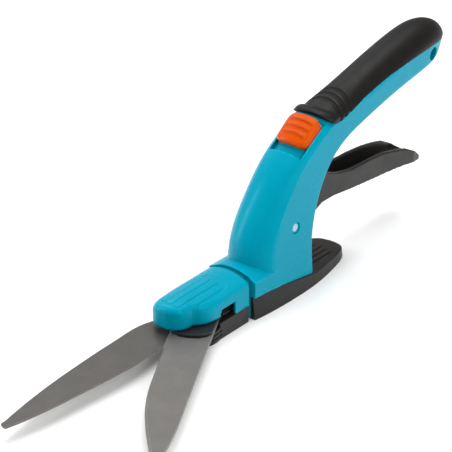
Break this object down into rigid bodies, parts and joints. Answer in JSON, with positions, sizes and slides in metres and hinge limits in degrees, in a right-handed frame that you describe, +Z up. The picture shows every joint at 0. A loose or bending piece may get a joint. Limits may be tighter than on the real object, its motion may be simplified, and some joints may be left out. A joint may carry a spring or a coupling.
{
  "type": "grass shears",
  "caption": "Hand grass shears: squeezing the lever under the raised soft grip pulls a rod that swings the upper blade over the fixed one; the head swivels lengthwise, a thumb slide locks.",
  "frame": {"origin": "on the ground under the middle of the sole, on the mid-plane of the handle", "axes": "+X from the blades towards the grip, +Y to the far side, +Z up from the ground"},
  "size_m": [0.3323, 0.0844, 0.1084],
  "materials": {
    "teal_plastic": "injection-moulded, semi-gloss turquoise",
    "dark_teal_plastic": "recessed ring, darker turquoise",
    "black_plastic": "fine-grained black plastic",
    "soft_black": "satin soft-touch rubber",
    "orange_plastic": "semi-gloss orange",
    "white_acetal": "pale low-friction plastic",
    "coated_blade_steel": "dark grey non-stick coated steel, satin",
    "zinc_steel": "zinc-plated steel",
    "spring_steel": "bright spring wire"
  },
  "bodies": {
    "handle": {"housing_far": "teal_plastic", "housing_near": "teal_plastic", "soft_grip": "soft_black", "sole": "black_plastic", "lever_pin": "zinc_steel", "lever_spring": "spring_steel", "swivel_bushing": "black_plastic", "swivel_spacer": "dark_teal_plastic", "housing_screw_1": "zinc_steel", "housing_screw_2": "zinc_steel", "housing_screw_3": "zinc_steel", "housing_screw_4": "zinc_steel", "sole_screw_1": "zinc_steel", "sole_screw_2": "zinc_steel", "sole_screw_3": "zinc_steel", "sole_screw_4": "zinc_steel"},
    "squeeze_lever": {"lever": "black_plastic"},
    "lock": {"lock_slider": "orange_plastic", "lock_latch": "zinc_steel"},
    "head": {"head_cover": "teal_plastic", "head_base": "black_plastic", "head_screw_1": "zinc_steel", "head_screw_2": "zinc_steel", "swivel_sleeve": "white_acetal", "retaining_ring": "spring_steel", "fixed_blade": "coated_blade_steel", "pivot_bolt": "zinc_steel", "pivot_nut": "zinc_steel", "pivot_washer": "zinc_steel", "locating_pin": "zinc_steel"},
    "drawbar": {"pull_rod": "zinc_steel", "rod_spool": "white_acetal", "crosshead": "zinc_steel"},
    "cutter": {"moving_blade": "coated_blade_steel", "hub_disc": "black_plastic", "drive_pin": "zinc_steel"}
  },
  "joints": [
    {"name": "lever_squeeze", "type": "hinge", "parent": "handle", "child": "squeeze_lever", "pos_m": [-0.001, 0, 0.037], "axis": [0, -1, 0], "range_deg": [0, 11.26], "stiffness_Nm_per_rad": 1.2, "springref_deg": -34.38, "deforming": ["lever_spring"]},
    {"name": "head_swivel", "type": "hinge", "parent": "handle", "child": "head", "pos_m": [-0.036, 0, 0.0125], "axis": [1, 0, 0], "range_deg": [-90, 90]},
    {"name": "rod_pull", "type": "slide", "parent": "head", "child": "drawbar", "axis": [1, 0, 0], "range_m": [0, 0.00483]},
    {"name": "blade_pivot", "type": "hinge", "parent": "head", "child": "cutter", "pos_m": [-0.063, 0, 0.01], "axis": [0, 0, -1], "range_deg": [0, 33]},
    {"name": "lock_slide", "type": "slide", "parent": "handle", "child": "lock", "axis": [-0.8192, 0, -0.5736], "range_m": [0, 0.005]}
  ],
  "couplings": [
    {"joint": "rod_pull", "follows": "lever_squeeze", "m_per_rad": 0.024579},
    {"joint": "blade_pivot", "follows": "lever_squeeze", "ratio": 2.932}
  ]
}
